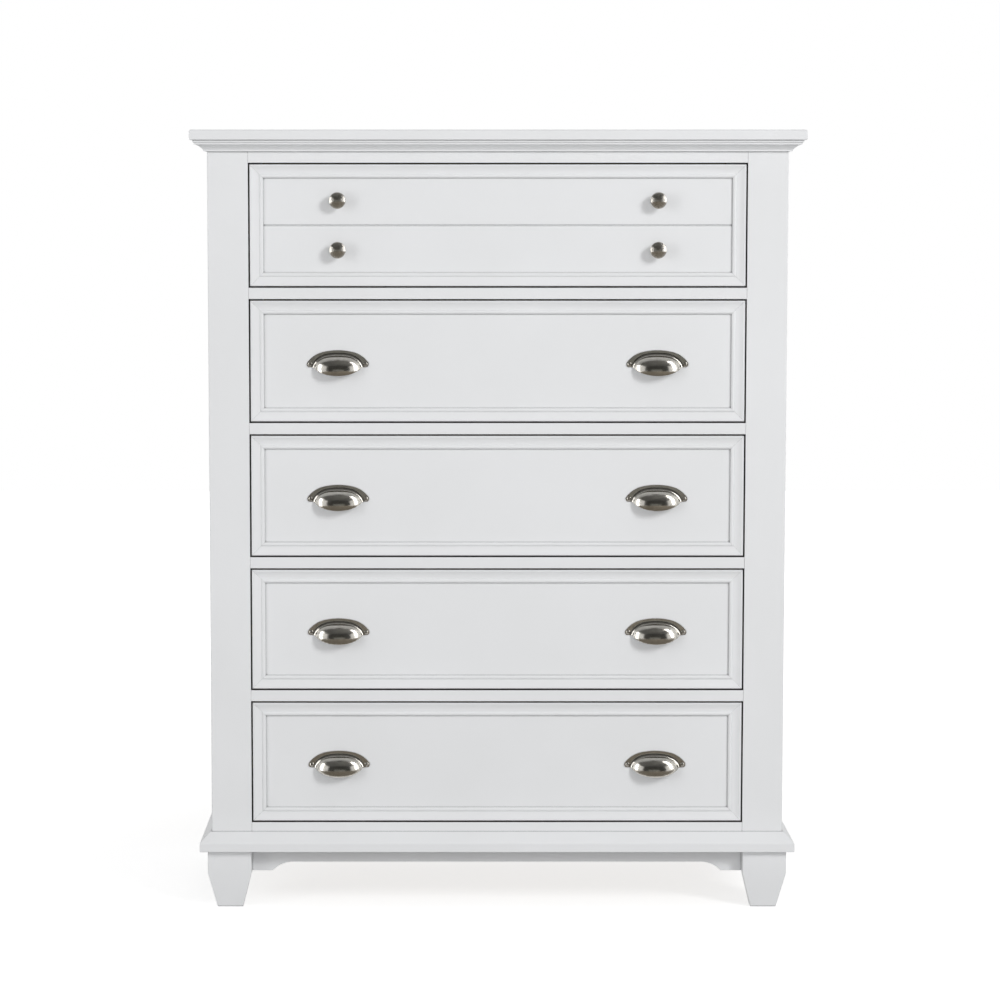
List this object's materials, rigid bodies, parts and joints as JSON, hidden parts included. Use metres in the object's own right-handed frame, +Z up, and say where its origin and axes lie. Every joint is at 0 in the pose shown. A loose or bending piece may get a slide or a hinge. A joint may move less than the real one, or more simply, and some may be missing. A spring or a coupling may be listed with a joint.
{
  "type": "chest of drawers",
  "caption": "Tall painted chest of drawers: post-and-rail case with moulded top and base on tapered bracket feet, with framed inset drawers on cup pulls and round knobs.",
  "frame": {"origin": "centre of the footprint on the floor", "axes": "+Z up, drawers open along -Y, +X to the right seen from the front"},
  "size_m": [0.965, 0.432, 1.24],
  "materials": {
    "white_paint": "satin white paint",
    "bare_wood": "clear lacquer",
    "plywood": "bare plywood",
    "nickel": "satin nickel",
    "screw_steel": "nickel-plated"
  },
  "bodies": {
    "case": {"frieze_rail": "white_paint", "drawer_rails": "white_paint", "bottom_rail": "white_paint", "side_rails": "white_paint", "right_side_panel": "white_paint", "left_side_panel": "white_paint", "front_right_post": "white_paint", "rear_right_post": "white_paint", "front_left_post": "white_paint", "rear_left_post": "white_paint", "top_board": "white_paint", "crown_moulding_front": "white_paint", "crown_moulding_sides": "white_paint", "base_moulding_front": "white_paint", "base_moulding_sides": "white_paint", "front_apron": "white_paint", "side_aprons": "white_paint", "front_right_foot": "white_paint", "front_left_foot": "white_paint", "rear_right_foot": "white_paint", "rear_left_foot": "white_paint", "case_floor": "plywood", "back_panel": "plywood", "rear_rails": "bare_wood", "drawer_runners": "bare_wood"},
    "drawer_1": {"drawer_1_front": "white_paint", "drawer_1_frame": "white_paint", "drawer_1_sides": "bare_wood", "drawer_1_back": "bare_wood", "drawer_1_bottom": "plywood", "drawer_1_knobs": "nickel", "drawer_1_screws": "screw_steel"},
    "drawer_2": {"drawer_2_front": "white_paint", "drawer_2_frame": "white_paint", "drawer_2_sides": "bare_wood", "drawer_2_back": "bare_wood", "drawer_2_bottom": "plywood", "drawer_2_pulls": "nickel", "drawer_2_screws": "screw_steel"},
    "drawer_3": {"drawer_3_front": "white_paint", "drawer_3_frame": "white_paint", "drawer_3_sides": "bare_wood", "drawer_3_back": "bare_wood", "drawer_3_bottom": "plywood", "drawer_3_pulls": "nickel", "drawer_3_screws": "screw_steel"},
    "drawer_4": {"drawer_4_front": "white_paint", "drawer_4_frame": "white_paint", "drawer_4_sides": "bare_wood", "drawer_4_back": "bare_wood", "drawer_4_bottom": "plywood", "drawer_4_pulls": "nickel", "drawer_4_screws": "screw_steel"},
    "drawer_5": {"drawer_5_front": "white_paint", "drawer_5_frame": "white_paint", "drawer_5_sides": "bare_wood", "drawer_5_back": "bare_wood", "drawer_5_bottom": "plywood", "drawer_5_pulls": "nickel", "drawer_5_screws": "screw_steel"}
  },
  "joints": [
    {"name": "drawer_1_slide", "type": "slide", "parent": "case", "child": "drawer_1", "axis": [0, -1, 0], "range_m": [0, 0.27]},
    {"name": "drawer_2_slide", "type": "slide", "parent": "case", "child": "drawer_2", "axis": [0, -1, 0], "range_m": [0, 0.27]},
    {"name": "drawer_3_slide", "type": "slide", "parent": "case", "child": "drawer_3", "axis": [0, -1, 0], "range_m": [0, 0.27]},
    {"name": "drawer_4_slide", "type": "slide", "parent": "case", "child": "drawer_4", "axis": [0, -1, 0], "range_m": [0, 0.27]},
    {"name": "drawer_5_slide", "type": "slide", "parent": "case", "child": "drawer_5", "axis": [0, -1, 0], "range_m": [0, 0.27]}
  ]
}
